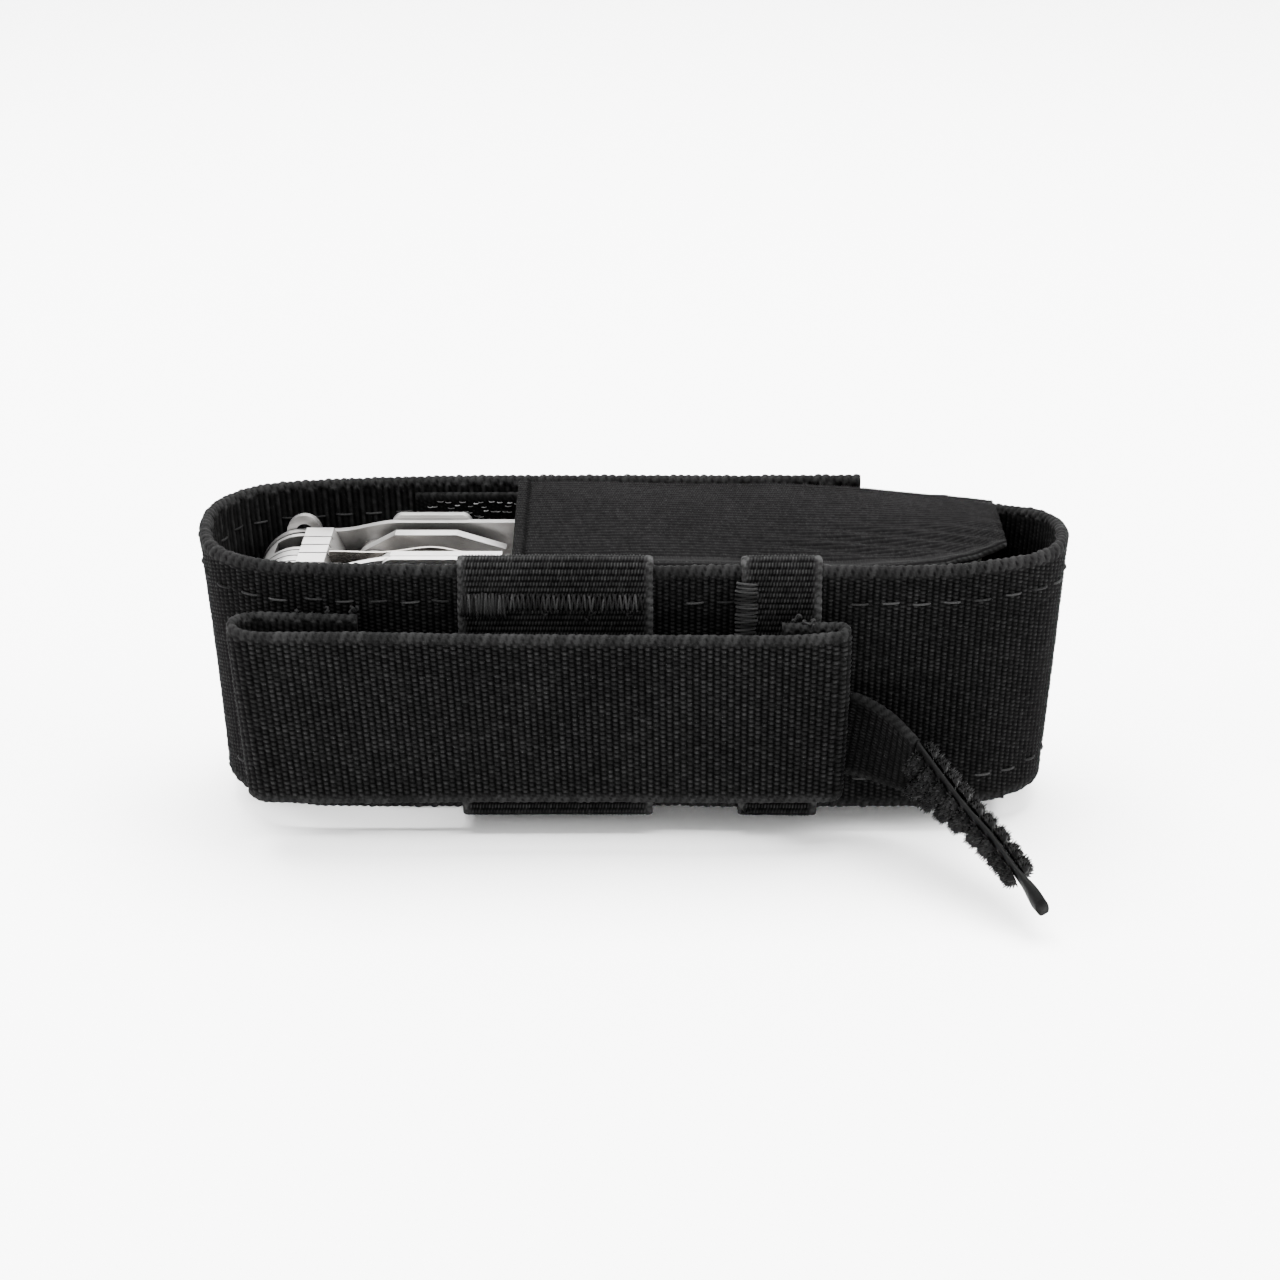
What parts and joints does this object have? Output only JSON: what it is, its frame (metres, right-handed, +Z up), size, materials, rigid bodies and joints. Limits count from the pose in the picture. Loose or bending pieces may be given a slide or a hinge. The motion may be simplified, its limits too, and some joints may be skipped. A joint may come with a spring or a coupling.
{
  "type": "sheathed folding pliers tool",
  "caption": "Folding pliers with fold-out blades and drivers, closed, in an open-topped webbing sheath with a closing flap, a belt loop and a hook strap.",
  "frame": {"origin": "on the resting face, in the middle of the sheath's length, below the tool's middle plane", "axes": "+X along the sheath towards its closed end, +Y from the belt loop to the flap, +Z up, square to the resting face"},
  "size_m": [0.125, 0.0693, 0.041],
  "materials": {
    "webbing": "matte woven nylon",
    "elastic": "matte ribbed elastic",
    "loop_webbing": "matte basket-woven nylon",
    "tape": "matte",
    "strap": "matte ribbed",
    "moulded_hook": "matte",
    "steel": "satin",
    "pins": "polished",
    "spring": "satin"
  },
  "bodies": {
    "sheath": {"sheath_webbing": "webbing", "gusset_top": "elastic", "gusset_bottom": "elastic", "wide_wrap": "elastic", "narrow_wrap": "elastic", "belt_loop": "loop_webbing", "loop_tape": "tape", "strap_root": "strap"},
    "flap_turn": {"flap_turn_webbing": "webbing"},
    "flap": {"flap_webbing": "webbing", "flap_hook_tape": "tape"},
    "strap": {"strap_tail": "strap", "moulded_hook_end": "moulded_hook"},
    "pliers": {"jaw_a": "steel", "jaw_rivet": "pins"},
    "second_jaw": {"jaw_b": "steel"},
    "handle_a": {"handle_a_far_plate": "steel", "handle_a_near_plate": "steel", "handle_a_nose_spacer": "steel", "handle_a_end_spacer": "steel", "handle_a_leaf_spring": "spring", "handle_a_pivot_pin": "pins", "handle_a_tool_pins": "pins", "handle_a_spacer_rivet": "pins", "handle_a_washers": "pins"},
    "handle_b": {"handle_b_far_plate": "steel", "handle_b_near_plate": "steel", "handle_b_nose_spacer": "steel", "handle_b_end_spacer": "steel", "handle_b_leaf_spring": "spring", "handle_b_pivot_pin": "pins", "handle_b_tool_pins": "pins", "handle_b_spacer_rivet": "pins", "handle_b_washers": "pins"},
    "lanyard_eye": {"lanyard_eye": "steel"},
    "release_bar_b_far": {"release_bar_b_far": "steel"},
    "release_bar_b_near": {"release_bar_b_near": "steel"},
    "release_bar_a_far": {"release_bar_a_far": "steel"},
    "release_bar_a_near": {"release_bar_a_near": "steel"},
    "knife_blade": {"knife_blade": "steel"},
    "serrated_blade": {"serrated_blade": "steel"},
    "wood_saw": {"wood_saw": "steel"},
    "flat_file": {"flat_file": "steel"},
    "can_opener": {"can_opener": "steel"},
    "large_driver": {"large_driver": "steel"},
    "pointed_driver": {"pointed_driver": "steel"},
    "slant_driver": {"slant_driver": "steel"}
  },
  "joints": [
    {"name": "tool_slide", "type": "slide", "parent": "sheath", "child": "pliers", "axis": [-1, 0, 0], "range_m": [0, 0.13], "deforming": ["sheath_webbing", "gusset_top", "gusset_bottom", "wide_wrap", "narrow_wrap", "belt_loop", "loop_tape", "strap_root", "flap_turn_webbing", "flap_webbing", "flap_hook_tape"]},
    {"name": "flap_near_fold", "type": "hinge", "parent": "sheath", "child": "flap_turn", "pos_m": [-0.06061, -0.01611, 0.021], "axis": [0, 0, 1], "range_deg": [0, 90]},
    {"name": "flap_far_fold", "type": "hinge", "parent": "flap_turn", "child": "flap", "pos_m": [-0.06061, 0.01621, 0.021], "axis": [0, 0, 1], "range_deg": [0, 90]},
    {"name": "strap_fold", "type": "hinge", "parent": "sheath", "child": "strap", "pos_m": [0.0302, -0.0198, 0.0144], "axis": [0, 0, 1], "range_deg": [-60, 10], "deforming": ["strap_tail", "moulded_hook_end"]},
    {"name": "jaw_opening", "type": "hinge", "parent": "pliers", "child": "second_jaw", "pos_m": [-0.0355, 0, 0.0198], "axis": [0, 1, 0], "range_deg": [0, 45]},
    {"name": "handle_a_fold", "type": "hinge", "parent": "pliers", "child": "handle_a", "pos_m": [-0.049, 0, 0.0113], "axis": [0, 1, 0], "range_deg": [0, 180]},
    {"name": "handle_b_fold", "type": "hinge", "parent": "second_jaw", "child": "handle_b", "pos_m": [-0.049, 0, 0.0283], "axis": [0, -1, 0], "range_deg": [0, 180]},
    {"name": "eye_swing", "type": "hinge", "parent": "handle_b", "child": "lanyard_eye", "pos_m": [-0.049, 0.0094, 0.0283], "axis": [0, 1, 0], "range_deg": [-60, 90]},
    {"name": "release_b_far", "type": "slide", "parent": "handle_b", "child": "release_bar_b_far", "axis": [1, 0, 0], "range_m": [0, 0.0024], "stiffness_N_per_m": 200},
    {"name": "release_b_near", "type": "slide", "parent": "handle_b", "child": "release_bar_b_near", "axis": [1, 0, 0], "range_m": [0, 0.0024], "stiffness_N_per_m": 200},
    {"name": "release_a_far", "type": "slide", "parent": "handle_a", "child": "release_bar_a_far", "axis": [1, 0, 0], "range_m": [0, 0.0024], "stiffness_N_per_m": 200},
    {"name": "release_a_near", "type": "slide", "parent": "handle_a", "child": "release_bar_a_near", "axis": [1, 0, 0], "range_m": [0, 0.0024], "stiffness_N_per_m": 200},
    {"name": "knife_blade_turn", "type": "hinge", "parent": "handle_a", "child": "knife_blade", "pos_m": [0.0455, 0, 0.0086], "axis": [0, -1, 0], "range_deg": [0, 175]},
    {"name": "serrated_blade_turn", "type": "hinge", "parent": "handle_a", "child": "serrated_blade", "pos_m": [0.0455, 0, 0.0086], "axis": [0, -1, 0], "range_deg": [0, 175]},
    {"name": "wood_saw_turn", "type": "hinge", "parent": "handle_a", "child": "wood_saw", "pos_m": [0.0455, 0, 0.0086], "axis": [0, -1, 0], "range_deg": [0, 175]},
    {"name": "flat_file_turn", "type": "hinge", "parent": "handle_a", "child": "flat_file", "pos_m": [0.0455, 0, 0.0086], "axis": [0, -1, 0], "range_deg": [0, 175]},
    {"name": "can_opener_turn", "type": "hinge", "parent": "handle_b", "child": "can_opener", "pos_m": [0.0455, 0, 0.031], "axis": [0, 1, 0], "range_deg": [0, 175]},
    {"name": "large_driver_turn", "type": "hinge", "parent": "handle_b", "child": "large_driver", "pos_m": [0.0455, 0, 0.031], "axis": [0, 1, 0], "range_deg": [0, 175]},
    {"name": "pointed_driver_turn", "type": "hinge", "parent": "handle_b", "child": "pointed_driver", "pos_m": [-0.038, 0, 0.031], "axis": [0, -1, 0], "range_deg": [0, 120]},
    {"name": "slant_driver_turn", "type": "hinge", "parent": "handle_b", "child": "slant_driver", "pos_m": [-0.038, 0, 0.031], "axis": [0, -1, 0], "range_deg": [0, 120]}
  ],
  "couplings": [
    {"joint": "flap_near_fold", "follows": "tool_slide", "rad_per_m": 12.071},
    {"joint": "flap_far_fold", "follows": "tool_slide", "rad_per_m": 12.071},
    {"joint": "jaw_opening", "follows": "tool_slide", "rad_per_m": 2.1481},
    {"joint": "handle_a_fold", "follows": "tool_slide", "rad_per_m": 24.139},
    {"joint": "handle_b_fold", "follows": "tool_slide", "rad_per_m": 16.782},
    {"joint": "knife_blade_turn", "follows": "tool_slide", "rad_per_m": 20.138},
    {"joint": "serrated_blade_turn", "follows": "tool_slide", "rad_per_m": 16.111},
    {"joint": "wood_saw_turn", "follows": "tool_slide", "rad_per_m": 22.152},
    {"joint": "flat_file_turn", "follows": "tool_slide", "rad_per_m": 18.125},
    {"joint": "can_opener_turn", "follows": "tool_slide", "rad_per_m": 13.426},
    {"joint": "large_driver_turn", "follows": "tool_slide", "rad_per_m": 18.125},
    {"joint": "pointed_driver_turn", "follows": "tool_slide", "rad_per_m": 12.083},
    {"joint": "slant_driver_turn", "follows": "tool_slide", "rad_per_m": 8.0554}
  ]
}
